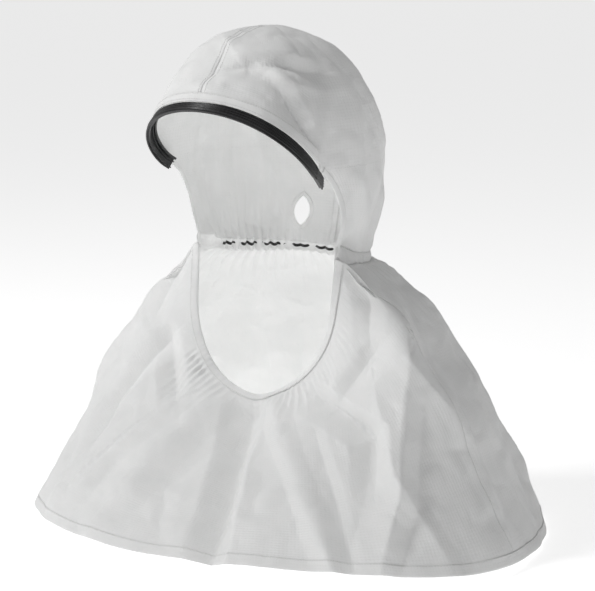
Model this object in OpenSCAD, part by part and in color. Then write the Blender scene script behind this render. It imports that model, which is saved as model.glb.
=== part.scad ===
// Protective hood and shoulder cape of a powered air respirator.
// +X is the wearer's left, +Y the wearer's back, +Z up.
// The origin is the inside of the crown at its highest point, where it rests on the head.

/* [Hood] */
// Half width of the brow profile at the temples
brow_a = 112; // [105:1:118]
// Depth of the brow profile, from the temples to its foremost point
brow_depth = 78; // [70:1:88]
// Rise of the brow profile from the temples to its foremost point
brow_rise = 74; // [66:1:82]
// Height of the crown above the bottom of the hem
hood_height = 610; // [600:1:620]
// Height of the crown above the temples
crown_rise = 158; // [150:1:168]
// Half width of the hood behind the temples
hood_a = 120; // [116:1:126]
// Depth of the rounded back of the hood
hood_back = 128; // [120:1:136]

/* [Neck] */
// Radius of the sphere on which the neck line lies, from the middle of the head
neck_r = 149; // [146:1:152]
// Half width of the neck
neck_a = 102; // [96:1:106]
// Depth of the rounded back of the neck
neck_back = 116; // [110:1:120]

/* [Cape] */
// Half width of the cape at its hem
hem_a = 325; // [315:1:335]
// Depth of the hem in front of its widest line
hem_front = 200; // [190:1:210]
// Depth of the hem behind its widest line
hem_back = 265; // [255:1:275]
// Height of the turned-up hem
hem_h = 14; // [10:1:18]

/* [Face opening] */
// Height of the lowest point of the face opening above the hem
chin_h = 165; // [155:1:175]
// Width of the binding round the face opening
binding_w = 11; // [9:1:14]

/* [Fabric] */
// Thickness of the coated fabric
cloth = 1.0; // [0.8:0.1:1.2]

/* [Brow profile] */
// Width of the extrusion, across the clip
profile_w = 16; // [14:1:18]
// Thickness of the web of the extrusion
profile_web = 1.8; // [1.6:0.1:2.0]

/* [Breathing tube port] */
// Height of the slit
port_h = 42; // [38:1:46]
// Width of the slit at its middle
port_w = 22; // [18:1:26]

/* [Hidden] */

temple_y = -60;       // the temples, where the profile ends
temple_z = -crown_rise;
hem_z = -hood_height;
hood_y = 18;          // where the rounded back of the hood begins
neck_y = 20;          // where the rounded back of the neck begins
neck_front_y = -7;    // the front edge of the hood at the neck
hem_y = 29.5;         // the widest line of the hem
hem_side = 8;         // half the straight side of the hem
centre = [0, 50, temple_z]; // the middle of the head, about which the neck turns and nods
gap = 0.4;            // left between pieces that lie on each other
side_turn = 10;       // the angle either side of 90 that the straight side takes
apex = [0, 0, 0];
round_n = 2.2;        // squareness of the round sections
port_x = -45;         // the port is beside the back seam, in the right panel
port_z = -240;
seam_turn = 0.75;     // half the angle between two panels, under their tape
tape_w = 9;
brow_edge = 0.95;     // how far down the crown its cloth reaches in front
band_r = neck_r + 1.5;  // the neck band runs from this radius
band_w = 6;             // by this width, clear of the hood and of the cape
cape_r = band_r + band_w + 2;

function lerp(a, b, s) = a + (b - a) * s;
function unit(v) = v / max(norm(v), 1e-9);
function power(v, e) = sign(v) * pow(abs(v), e);

// A quarter of a superellipse, from the middle (0) to the side (90).
function quarter(a, d, q) = [a * power(sin(q), 2 / round_n), d * power(cos(q), 2 / round_n)];

// A level section at angle u: 0 in front, 180 behind, negative on the wearer's right.
function section(u, front_a, front_y, front, back_a, back_y, back) =
    let (v = abs(u), s = u < 0 ? -1 : 1, lo = 90 - side_turn, hi = 90 + side_turn)
    v <= lo ? let (p = quarter(front_a, front, v * 90 / lo)) [s * p.x, front_y - p.y] :
    v < hi ? let (k = (v - lo) / (hi - lo)) [s * lerp(front_a, back_a, k), lerp(front_y, back_y, k)] :
    let (p = quarter(back_a, back, (180 - v) * 90 / lo)) [s * p.x, back_y + p.y];

// The rim of the crown: the brow profile in front, and level with the temples behind.
function rim(u) =
    let (p = section(u, brow_a, temple_y, brow_depth, hood_a, hood_y, hood_back),
         rise = abs(u) < 90 - side_turn ? brow_rise * cos(abs(u) * 90 / (90 - side_turn)) : 0)
    [p.x, p.y, temple_z + rise];

// The crown, from its highest point (t = 0) to its rim (t = 1).
function crown(t, u) =
    let (w = (1 - cos(u)) / 2, drop = pow(1 - cos(90 * t), lerp(1.0, 0.9, w)),
         p = lerp(1.2, 2, w), q = lerp(2.4, 2, w),
         out = pow(1 - pow(1 - drop, p), 1 / q), r = rim(u))
    [lerp(apex.x, r.x, out), lerp(apex.y, r.y, out), lerp(apex.z, r.z, drop)];

// The neck line on the sphere of radius r, straight below the neck's level section.
function neck_line(u, r) =
    let (p = section(u, neck_a - 2, neck_front_y, 0, neck_a, neck_y, neck_back), d = p - [centre.x, centre.y])
    [p.x, p.y, centre.z - sqrt(r * r - d * d)];

// The front edge of the hood's side, from the temple (s = 0) to the neck (s = 1).
function side_edge_y(s) = temple_y + 53 * (1 - pow(1 - s, 3));

// The hood's side and back, from the temples (s = 0) to the neck band (s = 1).
function side(s, u) =
    let (k = s * s * s,
         p = section(u, lerp(brow_a, neck_a - 2, k), side_edge_y(s), 0,
                     lerp(hood_a, neck_a, k), lerp(hood_y, neck_y, k), lerp(hood_back, neck_back, k)),
         n = neck_line(u, neck_r))
    [p.x, p.y, lerp(temple_z, n.z, s)];

// Crown for t up to 1, then the hood's side.
function hood(t, u) = t <= 1 ? crown(t, u) : side(t - 1, u);

// The cape's upper edge: the U of the face opening in front, and the neck behind.
function cape_top(u) =
    let (v = abs(u), s = u < 0 ? -1 : 1, lo = 90 - side_turn)
    v <= lo ?
        let (c = v / lo, w = 100 * pow(sin(90 * min(1, c * 1.35)), 0.9) * lerp(0.78, 1, c))
        [s * min(w, neck_a - 2), lerp(-20, neck_front_y, c),
         lerp(hem_z + chin_h, neck_line(90 - side_turn, cape_r).z, pow(c, 1.6))] :
    neck_line(u, cape_r);

function hem_section(u) = section(u, hem_a, hem_y - hem_side, hem_front, hem_a, hem_y + hem_side, hem_back);

// The cape's lower edge, on top of the hem.
function cape_foot(u, z) =
    let (p = hem_section(u)) [p.x, p.y, z];

// The cape, from its upper edge (t = 0) to its hem (t = 1).
function cape(t, u) =
    let (a = cape_top(u), b = cape_foot(u, hem_z + hem_h + gap), w = (1 - cos(u)) / 2,
         out = pow(t, lerp(0.85, 0.58, sqrt(w))))
    [lerp(a.x, b.x, out), lerp(a.y, b.y, out), lerp(a.z, b.z, t)];

function place(kind, t, u) = kind == "hood" ? hood(t, u) : cape(t, u);

// The outward normal of a surface, from two short steps.
function normal(kind, t, u) =
    let (e = 0.004, f = 0.4, top = kind == "hood" ? 2 : 1,
         t0 = max(kind == "hood" ? 0.06 : 0, t - e), t1 = min(top, t0 + 2 * e), ta = t1 - 2 * e,
         u0 = u - f, u1 = u + f,
         down = place(kind, t1, u) - place(kind, ta, u),
         round = place(kind, max(t, 0.06), u1) - place(kind, max(t, 0.06), u0))
    unit(cross(down, round));

function lifted(kind, t, u, h) = place(kind, t, u) + h * normal(kind, t, u);

// The points of a grid, row by row.
function grid(kind, ts, us, h) = [for (t = ts) for (u = us) lifted(kind, t, u, h)];

// Which cells of the grid belong to the cloth: in front, the hood ends at the brow profile's edge.
function has_cell(kind, t, u, open_to) = kind != "hood" || t < brow_edge || abs(u) > open_to;

// A closed sheet between two offsets of a surface, with walls wherever a cell has no neighbour.
module sheet(kind, ts, us, low, high, open_to = 0) {
    rows = len(ts);
    cols = len(us);
    count = rows * cols;
    cell = [for (i = [0:rows - 2]) [for (j = [0:cols - 2])
        has_cell(kind, (ts[i] + ts[i + 1]) / 2, (us[j] + us[j + 1]) / 2, open_to)]];
    at = function (i, j) i >= 0 && j >= 0 && i < rows - 1 && j < cols - 1 && cell[i][j];
    id = function (i, j) i * cols + j;
    quads = [for (i = [0:rows - 2]) for (j = [0:cols - 2]) if (cell[i][j])
        let (a = id(i, j), b = id(i, j + 1), c = id(i + 1, j + 1), d = id(i + 1, j))
        each concat(
            [[a, b, c], [a, c, d], [a + count, c + count, b + count], [a + count, d + count, c + count]],
            at(i - 1, j) ? [] : wall(a, b, count),
            at(i, j + 1) ? [] : wall(b, c, count),
            at(i + 1, j) ? [] : wall(c, d, count),
            at(i, j - 1) ? [] : wall(d, a, count))];
    polyhedron(concat(grid(kind, ts, us, high), grid(kind, ts, us, low)), quads);
}

function wall(a, b, count) = [[b, a, a + count], [b, a + count, b + count]];

function steps(a, b, n) = [for (i = [0:n]) lerp(a, b, i / n)];

// A ribbon that follows a list of points, each with its own pair of section axes.
module ribbon(points, across, up, outline, closed = false) {
    n = len(points);
    m = len(outline);
    rings = [for (i = [0:n - 1]) for (q = outline) points[i] + q.x * across[i] + q.y * up[i]];
    last = closed ? n - 1 : n - 2;
    sides = [for (i = [0:last]) for (j = [0:m - 1])
        let (k = (i + 1) % n, l = (j + 1) % m)
        each [[i * m + j, i * m + l, k * m + l], [i * m + j, k * m + l, k * m + j]]];
    ends = closed ? [] : [[for (j = [m - 1:-1:0]) j], [for (j = [0:m - 1]) (n - 1) * m + j]];
    polyhedron(rings, concat(sides, ends));
}

// A flat band on a surface along a list of [t, u] stations, with its edges w apart.
module band_on(kind, stations, w, low, high, closed = false) {
    n = len(stations);
    at = function (i) let (k = closed ? (i + n) % n : max(0, min(n - 1, i)))
        place(kind, stations[k][0], stations[k][1]);
    points = [for (i = [0:n - 1]) at(i)];
    up = [for (s = stations) normal(kind, s[0], s[1])];
    across = [for (i = [0:n - 1]) unit(cross(up[i], at(i + 1) - at(i - 1)))];
    ribbon(points, across, up, [[-w / 2, low], [w / 2, low], [w / 2, high], [-w / 2, high]], closed);
}

hood_rows = concat([0.015], steps(0.12, 0.8, 6), [0.9, 0.95], [for (s = steps(0, 1, 5)) 1 + s]);
cape_rows = steps(0, 1, 10);
front_us = steps(5, 80, 12);
hood_us = concat([seam_turn], front_us, steps(90, 174, 8), [180 - seam_turn / 2]);

function mirrored(list) = [for (i = [len(list) - 1:-1:0]) -list[i]];

module crown_half(side) {
    sheet("hood", hood_rows, side > 0 ? hood_us : mirrored(hood_us), 0, cloth, 80);
}

// The slit's outline: two arcs that meet in points.
module almond(h, w) {
    r = (h * h / 4 + w * w / 4) / w;
    intersection() {
        translate([r - w / 2, 0]) circle(r, $fn = 96);
        translate([w / 2 - r, 0]) circle(r, $fn = 96);
    }
}

module port_cut(grow) {
    translate([port_x, 0, port_z]) rotate([-90, 0, 0])
        linear_extrude(150) almond(port_h + grow, port_w + grow);
}

module crown_panel_left() {
    color("white") crown_half(1);
}

module crown_panel_right() {
    color("white") difference() {
        crown_half(-1);
        port_cut(0);
    }
}

// Rim of the slit, bound on the outside of the right panel.
module port_binding() {
    color("whitesmoke") difference() {
        intersection() {
            sheet("hood", [for (t = hood_rows) if (t > 1.1) t], [for (u = mirrored(hood_us)) if (u < -130) u],
                cloth + gap, cloth + gap + 1);
            port_cut(9);
        }
        port_cut(1);
    }
}

crown_line = concat(
    [for (i = [8:-1:1]) [hood_rows[i], 0]],
    [for (i = [1:len(hood_rows) - 2]) [hood_rows[i], 180]],
    [[1.93, 180]]);

module crown_seam_tape() {
    color("whitesmoke") band_on("hood", crown_line, tape_w, -gap - 0.8, -gap);
}

// Two rows of stitches, one on each side of the seam, in front of and behind the top of the crown.
function stitch_front(s) = [for (i = [7:-1:2]) [hood_rows[i], s * 2.4 / hood_rows[i]]];
function stitch_back(s) = concat(
    [for (i = [2:len(hood_rows) - 2]) [hood_rows[i], s * (180 - 1.2 / min(1, hood_rows[i]))]],
    [[1.93, s * 178.8]]);

module crown_stitching() {
    color("lightgray") for (s = [-1, 1]) {
        band_on("hood", stitch_front(s), 0.7, cloth + 0.5, cloth + 0.9);
        band_on("hood", stitch_back(s), 0.7, cloth + 0.5, cloth + 0.9);
    }
}

// The profile's line: the rim, drawn inside the cloth towards each temple, and carried a little past it.
profile_in = 4.5;
function profile_line(u) =
    let (s = u < 0 ? -1 : 1, k = (abs(u) - 80) / 20)
    k <= 0 ? rim(u) - [s * profile_in * pow(abs(u) / 80, 6), 0, 0] :
    [s * (brow_a - profile_in - 7 * k), temple_y + 22 * k, temple_z - 14 * k];

// The way across the extrusion: it follows the slope of the crown at the brow.
function profile_across(u) =
    let (k = min(1, abs(u) / 80), out = unit([profile_line(u).x, profile_line(u).y - temple_y - 30, 0]))
    unit([0, 0, 1] * lerp(0.45, 0.98, k) - out * lerp(0.9, 0.1, k));

profile_us = steps(-100, 100, 56);
function profile_along(u) = unit(profile_line(u + 0.5) - profile_line(u - 0.5));
function square_across(u) =
    let (a = profile_along(u), c = profile_across(u)) unit(c - a * (a * c));

module along_profile(outline, us) {
    points = [for (u = us) profile_line(u)];
    across = [for (u = us) square_across(u)];
    up = [for (i = [0:len(us) - 1]) unit(cross(profile_along(us[i]), across[i]))];
    ribbon(points, across, up, outline);
}

// Cross-section of the extrusion: a web, a ribbed back, and on the inside a clip
// with a barbed lip for the visor's rim and a channel for the brow tape.
half = profile_w / 2;
web = profile_web;
profile_outline = [
    [-half, -web / 2], [-half + 2.2, -web / 2], [-half + 2.2, -web / 2 - 2.6], [-half + 3.6, -web / 2 - 2.6],
    [-half + 3.6, -web / 2], [half - 6.6, -web / 2], [half - 6.6, -web / 2 - 2.6], [half - 5.2, -web / 2 - 2.6],
    [half - 5.2, -web / 2], [half - 1.6, -web / 2], [half - 1.6, -web / 2 - 2.4], [half - 3, -web / 2 - 3.2],
    [half, -web / 2 - 4], [half, web / 2],
    [half - 3, web / 2], [half - 3.6, web / 2 + 0.8], [half - 5.2, web / 2 + 0.8], [half - 5.8, web / 2],
    [-half + 6, web / 2], [-half + 5.4, web / 2 + 0.8], [-half + 3.8, web / 2 + 0.8], [-half + 3.2, web / 2],
    [-half, web / 2]
];

module brow_profile() {
    color([0.06, 0.06, 0.06]) along_profile([for (q = profile_outline) [q.x - 2.5, q.y]], profile_us);
}

// The strip of doubled cloth that the profile grips, sewn along the crown's front edge.
module brow_tape() {
    color("white") sheet("hood", [0.9, 0.95], concat(mirrored(front_us), front_us), cloth + gap, cloth + gap + 0.8);
}

module brow_stitching() {
    color("lightgray") band_on("hood", [for (u = concat(mirrored(front_us), front_us)) [0.925, u]], 0.7,
        cloth + gap + 0.9, cloth + gap + 1.3);
}

module face_binding(side) {
    us = side > 0 ? [80.4, 86] : [-86, -80.4];
    color("whitesmoke") sheet("hood", [for (t = hood_rows) if (t > 1 && t < 2) t], us,
        cloth + gap, cloth + gap + 0.8);
}

module face_binding_left() { face_binding(1); }
module face_binding_right() { face_binding(-1); }

// The neck band: a flat casing, and the elastic inside it, both open in front.
// Each lies between two spheres about the middle of the head.
module neck_arc(low, high, r0, r1) {
    us = [for (v = steps(-99, 99, 24)) v <= 0 ? 180 + v : v - 180];
    line = [for (u = us) neck_line(u, neck_r)];
    n = len(us);
    out = [for (p = line) unit(p - centre)];
    along = [for (i = [0:n - 1]) unit(line[min(n - 1, i + 1)] - line[max(0, i - 1)])];
    up = [for (i = [0:n - 1]) unit(cross(out[i], along[i]))];
    ribbon([for (o = out) centre + r0 * o], up, out, [[low, 0], [high, 0], [high, r1 - r0], [low, r1 - r0]]);
}

module nape_casing() {
    color("white") neck_arc(0, cloth, band_r, band_r + band_w);
}

module nape_elastic() {
    color([0.05, 0.05, 0.05]) neck_arc(-gap - 1.4, -gap, band_r + 1, band_r + 5);
}

shoulder = 84;        // the angle of the shoulder seams
bib_us = concat([-shoulder + 0.6], steps(-80, 80, 30), [shoulder - 0.6]);
back_us = concat([shoulder + 0.6], steps(90, 174, 10), [179.5]);

module bib_panel() {
    color("white") sheet("cape", cape_rows, bib_us, 0, cloth);
}

module cape_panel_left() {
    color("white") sheet("cape", cape_rows, back_us, 0, cloth);
}

module cape_panel_right() {
    color("white") sheet("cape", cape_rows, mirrored(back_us), 0, cloth);
}

module shoulder_tape(side) {
    color("whitesmoke") band_on("cape", [for (i = [1:9]) [cape_rows[i], side * shoulder]],
        tape_w, -gap - 0.8, -gap);
}

module shoulder_tape_left() { shoulder_tape(1); }
module shoulder_tape_right() { shoulder_tape(-1); }

module back_seam_tape() {
    color("whitesmoke") band_on("cape", [for (i = [1:9]) [cape_rows[i], 180]],
        tape_w, -gap - 0.8, -gap);
}

// Stations along the face opening's U.
chin_us = [for (u = bib_us) if (abs(u) < 76) u];

// The gathered casing, which doubles over the cape's edge, the elastic inside, and its stitches.
module chin_ribbon(w, low, high, depth) {
    points = [for (u = chin_us) cape(0, u)];
    out = [for (u = chin_us) unit(cape(cape_rows[1], u) - cape(0, u))];
    up = [for (u = chin_us) normal("cape", cape_rows[1] / 2, u)];
    across = [for (i = [0:len(chin_us) - 1]) unit(out[i] - up[i] * (up[i] * out[i]))];
    ribbon(points, across, up,
        [[depth - w / 2, low], [depth + w / 2, low], [depth + w / 2, high], [depth - w / 2, high]]);
}

casing_lift = 1.1;    // the gathers raise the casing off the cape

module chin_casing() {
    color("whitesmoke") chin_ribbon(binding_w, cloth + casing_lift, cloth + casing_lift + 0.8, binding_w / 2 + 0.5);
}

module chin_elastic() {
    color("gainsboro") chin_ribbon(5, -gap - 1.2, -gap, binding_w / 2 + 0.5);
}

module chin_stitching() {
    color("lightgray") chin_ribbon(0.7, cloth + casing_lift + 1, cloth + casing_lift + 1.4, binding_w - 1.5);
}

// The hem: the cape's lower edge, turned up and sewn. Its underside is flat.
function hem_ring(h, n) = [for (i = [0:n - 1])
    let (u = -180 + 360 * i / n, p = hem_section(u), q = hem_section(u + 0.5), d = unit(q - p))
    [p.x + d.y * h, p.y - d.x * h]];

module hem_band(low, high, z0, z1) {
    translate([0, 0, hem_z + z0]) linear_extrude(z1 - z0) difference() {
        polygon(hem_ring(high, 96));
        polygon(hem_ring(low, 96));
    }
}

module cape_hem() {
    color("white") hem_band(-0.6, 1.4, 0, hem_h);
}

module hem_stitching() {
    color("lightgray") hem_band(1.5, 1.9, hem_h - 2.4, hem_h - 1.7);
}

crown_panel_left();
crown_panel_right();
crown_seam_tape();
crown_stitching();
brow_tape();
brow_profile();
brow_stitching();
port_binding();
face_binding_left();
face_binding_right();
nape_casing();
nape_elastic();
bib_panel();
cape_panel_left();
cape_panel_right();
shoulder_tape_left();
shoulder_tape_right();
back_seam_tape();
chin_casing();
chin_elastic();
chin_stitching();
cape_hem();
hem_stitching();
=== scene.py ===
# %% [markdown]
# # The hood of a powered air respirator
#
# The hood is a white coated non-woven cloth bag for the head, sewn to a cape that lies on the
# shoulders. A black ribbed profile stiffens its brow and clips to a visor. Elastic gathers it
# at the nape and under the chin. All of it hangs from the crown, which rests on the head.
#
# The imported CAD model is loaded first. It gives the frame, in metres: +X is the wearer's left,
# +Y the wearer's back, +Z up, and the origin is the inside of the crown.

# %% Load the frame
import bmesh
import bpy
import numpy as np
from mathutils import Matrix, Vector


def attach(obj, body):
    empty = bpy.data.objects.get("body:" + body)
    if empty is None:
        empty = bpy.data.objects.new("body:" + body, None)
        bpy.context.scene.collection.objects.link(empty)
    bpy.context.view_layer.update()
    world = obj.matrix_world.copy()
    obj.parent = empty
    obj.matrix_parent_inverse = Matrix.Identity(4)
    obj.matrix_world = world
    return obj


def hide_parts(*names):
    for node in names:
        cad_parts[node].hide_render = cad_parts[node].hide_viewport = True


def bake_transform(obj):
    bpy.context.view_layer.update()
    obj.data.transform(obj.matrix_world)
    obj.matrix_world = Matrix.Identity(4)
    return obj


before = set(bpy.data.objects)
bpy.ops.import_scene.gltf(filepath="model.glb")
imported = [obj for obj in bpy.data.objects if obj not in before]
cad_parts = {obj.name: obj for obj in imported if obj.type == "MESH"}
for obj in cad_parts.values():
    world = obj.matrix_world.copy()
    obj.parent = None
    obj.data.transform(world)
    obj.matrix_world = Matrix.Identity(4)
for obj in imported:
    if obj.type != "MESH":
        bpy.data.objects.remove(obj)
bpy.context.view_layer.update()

# %% [markdown]
# ## The camera
#
# The hood is seen from in front, from a little above and from the wearer's left. A long lens
# keeps the hem and the crown at the same scale. The camera is made first, by its angles.

# %% Camera
AZIMUTH = 34.5
ELEVATION = 11.0
DISTANCE = 2.2
AIM = np.array([0.072, -0.046, -0.308])


def unit(v):
    """Each vector of the array, divided by its length."""
    return v / np.maximum(np.linalg.norm(v, axis=-1, keepdims=True), 1e-9)


def look_from(azimuth, elevation):
    """The way from the aim to the camera: azimuth 0 is in front of the wearer, 90 at the left."""
    a, e = np.radians([azimuth, elevation])
    return np.array([np.sin(a) * np.cos(e), -np.cos(a) * np.cos(e), np.sin(e)])


def turn_to(obj, place, aim):
    """Puts the object at a place, with its -Z axis towards the aim and its Y axis upwards."""
    obj.location = place
    obj.rotation_euler = Vector(np.asarray(aim) - np.asarray(place)).to_track_quat("-Z", "Y").to_euler()


lens = bpy.data.cameras.new("camera")
lens.sensor_width = 36.0
lens.lens = 114.5
camera = bpy.data.objects.new("camera", lens)
bpy.context.scene.collection.objects.link(camera)
turn_to(camera, AIM + DISTANCE * look_from(AZIMUTH, ELEVATION), AIM)
bpy.context.scene.camera = camera
print("camera at", [round(x, 3) for x in camera.location])

# %% [markdown]
# ## The shape of the cloth
#
# Cloth on a head and shoulders is a tube of changing section. It could be draped by simulation,
# but the places of the elastic, the profile and the port are known, so the tube is written as a
# function of two numbers: t runs down from the crown, and u goes round, 0 in front and 180 behind.
# These are the same sections as the CAD solids, so the visible cloth lies where they lie.

# %% Sections
MM = 0.001
BROW_A, BROW_DEPTH, BROW_RISE = 112.0, 78.0, 74.0
TEMPLE_Y, TEMPLE_Z = -60.0, -158.0
HOOD_A, HOOD_Y, HOOD_BACK = 120.0, 18.0, 128.0
NECK_A, NECK_Y, NECK_BACK, NECK_FRONT = 102.0, 20.0, 116.0, -7.0
HEM_A, HEM_Y, HEM_FRONT, HEM_BACK, HEM_SIDE = 325.0, 29.5, 200.0, 265.0, 8.0
HEM_Z, CHIN_Z = -610.0, -445.0
CENTRE = np.array([0.0, 50.0, TEMPLE_Z])
NECK_R = 149.0
CAPE_R = 158.5
SIDE = 80.0


def lerp(a, b, s):
    """a at s = 0 and b at s = 1, straight between them."""
    return a + (b - a) * s


def smooth(x, a, b):
    """0 below a and 1 above b, with an S-curve between them."""
    s = np.clip((x - a) / (b - a), 0, 1)
    return s * s * (3 - 2 * s)


def section(u, front_a, front_y, front, back_a, back_y, back):
    """A level section: half a superellipse of exponent 2.2 in front, a straight side of 20
    degrees, and half a superellipse behind."""
    v, side = np.abs(u), np.sign(u + 1e-12)
    e = 2 / 2.2
    q = np.radians(np.clip(v, 0, SIDE) * 90 / SIDE)
    fx, fy = front_a * np.sin(q) ** e, front_y - front * np.clip(np.cos(q), 0, 1) ** e
    k = (v - SIDE) / (180 - 2 * SIDE)
    q = np.radians(np.clip(180 - v, 0, SIDE) * 90 / SIDE)
    bx, by = back_a * np.sin(q) ** e, back_y + back * np.clip(np.cos(q), 0, 1) ** e
    x = np.where(v <= SIDE, fx, np.where(v < 180 - SIDE, lerp(front_a, back_a, k), bx))
    y = np.where(v <= SIDE, fy, np.where(v < 180 - SIDE, lerp(front_y, back_y, k), by))
    return side * x, y


def neck_line(u, r):
    """The neck's level section, let down on to a sphere of radius r about the middle of the head."""
    x, y = section(u, NECK_A - 2, NECK_FRONT, 0.0, NECK_A, NECK_Y, NECK_BACK)
    return x, y, CENTRE[2] - np.sqrt(r * r - x * x - (y - CENTRE[1]) ** 2)


def rim(u):
    """The line of the brow profile in front, and the level of the temples behind."""
    x, y = section(u, BROW_A, TEMPLE_Y, BROW_DEPTH, HOOD_A, HOOD_Y, HOOD_BACK)
    climb = np.cos(np.radians(np.clip(np.abs(u) * 90 / SIDE, 0, 90)))
    rise = np.where(np.abs(u) < SIDE, BROW_RISE * climb, 0)
    return x, y, TEMPLE_Z + rise


def hood_base(t, u):
    """The crown for t from 0 to 1, a dome whose height falls as a cosine while its width grows as
    a superellipse, and the side and back of the hood for t from 1 to 2, narrowing to the neck."""
    w = (1 - np.cos(np.radians(u))) / 2
    tc = np.clip(t, 0, 1)
    drop = np.clip(1 - np.cos(np.radians(90 * tc)), 0, 1) ** lerp(1.0, 0.9, w)
    behind = smooth(np.abs(u), 40, 100)
    p, q = lerp(1.2, 2.0, behind), lerp(2.4, 2.0, behind)
    out = np.clip(1 - np.clip(1 - drop, 0, 1) ** p, 0, 1) ** (1 / q)
    rx, ry, rz = rim(u)
    crown = np.stack([rx * out, ry * out, rz * drop], -1)
    s = np.clip(t - 1, 0, 1)
    k = s ** 3
    sx, sy = section(u, lerp(BROW_A, NECK_A - 2, k), TEMPLE_Y + 53 * (1 - (1 - s) ** 3), 0.0,
                     lerp(HOOD_A, NECK_A, k), lerp(HOOD_Y, NECK_Y, k), lerp(HOOD_BACK, NECK_BACK, k))
    nz = neck_line(u, NECK_R)[2]
    side = np.stack([sx, sy, lerp(TEMPLE_Z, nz, s)], -1)
    return np.where((t <= 1)[..., None], crown, side)


def cape_base(t, u):
    """The cape: from its upper edge at t = 0, the U of the face opening in front and the neck
    behind, out to the hem at t = 1, first level along the shoulders and then down."""
    v, side = np.abs(u), np.sign(u + 1e-12)
    c = np.clip(v / SIDE, 0, 1)
    wide = 100 * np.sin(np.radians(90 * np.clip(c * 1.35, 0, 1))) ** 0.9 * lerp(0.78, 1, c)
    nx, ny, nz = neck_line(u, CAPE_R)
    top = neck_line(np.array(SIDE), CAPE_R)[2]
    front = v <= SIDE
    ax = np.where(front, side * np.minimum(wide, NECK_A - 2), nx)
    ay = np.where(front, lerp(-20, NECK_FRONT, c), ny)
    az = np.where(front, lerp(CHIN_Z, top, c ** 1.6), nz)
    bx, by = section(u, HEM_A, HEM_Y - HEM_SIDE, HEM_FRONT, HEM_A, HEM_Y + HEM_SIDE, HEM_BACK)
    w = (1 - np.cos(np.radians(u))) / 2
    out = np.clip(t, 0, 1) ** lerp(0.85, 0.58, np.sqrt(w))
    return np.stack([lerp(ax, bx, out), lerp(ay, by, out), lerp(az, HEM_Z, t)], -1)


BASES = {"hood": hood_base, "cape": cape_base}


def wrap(u):
    """The same angle, from -180 to 180, so that a step past the back seam lands on the other side."""
    return (u + 180) % 360 - 180


def outward(kind, t, u):
    """The outward normal of the plain surface, from the cross product of two short steps."""
    low, high = (0.04, 2.0) if kind == "hood" else (0.0, 1.0)
    e, f = 0.008, 0.6
    t0 = np.clip(t - e, low, high - 2 * e)
    tn = np.clip(t, low, high)
    down = BASES[kind](t0 + 2 * e, u) - BASES[kind](t0, u)
    round_ = BASES[kind](tn, wrap(u + f)) - BASES[kind](tn, wrap(u - f))
    return unit(np.cross(down, round_))


for u in (0.0, 90.0, 180.0):
    print("hem at", u, cape_base(np.array(1.0), np.array(u)).round(0))

# %% [markdown]
# ## Folds, gathers and crumples
#
# This cloth is stiff and light, like paper. It makes long folds with crisp edges where it is
# pulled, dense short gathers where elastic holds it, and soft crumples everywhere else. Each
# is a height above the plain surface. A fold is a ridge or a valley along a path through a few
# stations of t and u. Crumples come from smooth noise, folded over.

# %% Tools for folds
def run_of(path):
    """How far each point of a path lies along it."""
    return np.concatenate([[0], np.cumsum(np.linalg.norm(np.diff(path, axis=0), axis=1))])


def along(points, path):
    """For each point, the distance to a path of straight pieces, how far along it, from 0 to 1,
    and on which side of it the point is, seen from outside."""
    a, b = path[:-1], path[1:]
    lengths = np.linalg.norm(b - a, axis=1)
    starts = np.concatenate([[0], np.cumsum(lengths)])
    best = np.full(points.shape[:-1], 1e9)
    place, side = np.zeros_like(best), np.zeros_like(best)
    for i, (p, q) in enumerate(zip(a, b)):
        d = q - p
        s = np.clip(((points - p) @ d) / max(d @ d, 1e-9), 0, 1)
        off = points - (p + s[..., None] * d)
        dist = np.linalg.norm(off, axis=-1)
        out = unit(np.array([p[0] + q[0], p[1] + q[1] - 60, 60.0]))
        nearer = dist < best
        best = np.where(nearer, dist, best)
        place = np.where(nearer, (starts[i] + s * lengths[i]) / starts[-1], place)
        side = np.where(nearer, np.sign(off @ np.cross(d, out)), side)
    return best, place, side


def fold(points, path, height, width, steep=1.0):
    """A ridge, or a valley if its height is negative: a crisp crest with nearly
    flat flanks, like folded paper, wider by `steep` on one side, that starts and ends in nothing."""
    d, s, side = along(points, np.asarray(path, float))
    w = 2.4 * np.where(side > 0, width * steep, width)
    tent = np.clip(1.02 - np.sqrt((d / w) ** 2 + 0.0004), 0, 1) ** 1.25
    return height * tent * np.sin(np.pi * np.clip(s * 0.9 + 0.05, 0, 1)) ** 0.6


def scattered(cell, seed):
    """Three numbers from 0 to 1 for each cell of a lattice, always the same for the same cell: the
    cell's whole numbers are multiplied by large odd numbers and mixed."""
    c = cell.astype(np.int64)
    out = []
    for k in range(3):
        h = (c[..., 0] * 73856093) ^ (c[..., 1] * 19349663) ^ (c[..., 2] * 83492791)
        h = h ^ (seed * 2654435 + k * 97531)
        h = ((h ^ (h >> 13)) * 1274126177) & 0x7FFFFFFF
        out.append(((h ^ (h >> 16)) & 0xFFFF) / 65535.0)
    return np.stack(out, -1)


def clouds(points, size, seed):
    """Smooth noise from 0 to 1: a random number at each corner of a lattice, blended with
    S-curves between the eight corners round each point."""
    p = points / size
    cell = np.floor(p)
    f = p - cell
    f = f * f * (3 - 2 * f)
    total = 0
    for i in range(8):
        corner = np.array([i & 1, i >> 1 & 1, i >> 2])
        weight = np.prod(np.where(corner, f, 1 - f), -1)
        total = total + weight * scattered(cell + corner, seed)[..., 0]
    return total


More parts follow.
